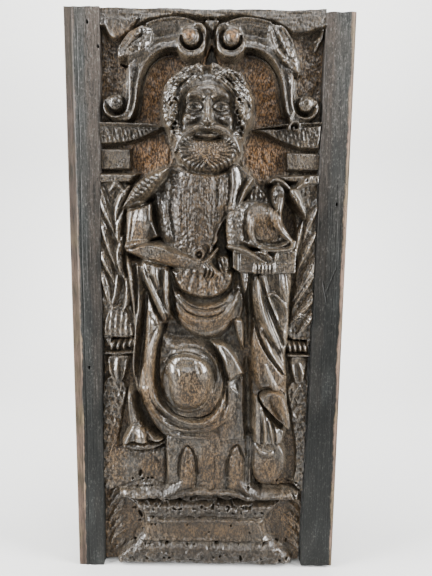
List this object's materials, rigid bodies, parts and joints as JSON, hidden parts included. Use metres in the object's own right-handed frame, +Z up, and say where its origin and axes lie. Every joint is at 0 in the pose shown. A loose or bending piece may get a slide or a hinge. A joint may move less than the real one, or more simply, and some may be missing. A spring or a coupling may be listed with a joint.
{
  "type": "carved wall panel",
  "caption": "Upright oak panel carved in high relief with a bearded saint, a lamb on a book, scrolled canopy, side ornament and a moulded socle, framed by plain stiles; hangs flat on a wall.",
  "frame": {"origin": "middle of the flat back, 300 mm above the foot of the panel, on the plane that lies against the wall", "axes": "+Z up the panel, +X to the right seen from the front, +Y from the carved front through the back towards the wall"},
  "size_m": [0.29, 0.0511, 0.6013],
  "materials": {
    "carved_oak": "old waxed oak, dark brown, glossy on the high carving and duller in the ground",
    "plain_oak": "old waxed oak, nearly black, with open grain and scratches"
  },
  "bodies": {
    "root": {"carved_panel": "carved_oak", "left_stile": "plain_oak", "right_stile": "plain_oak"}
  },
  "joints": []
}
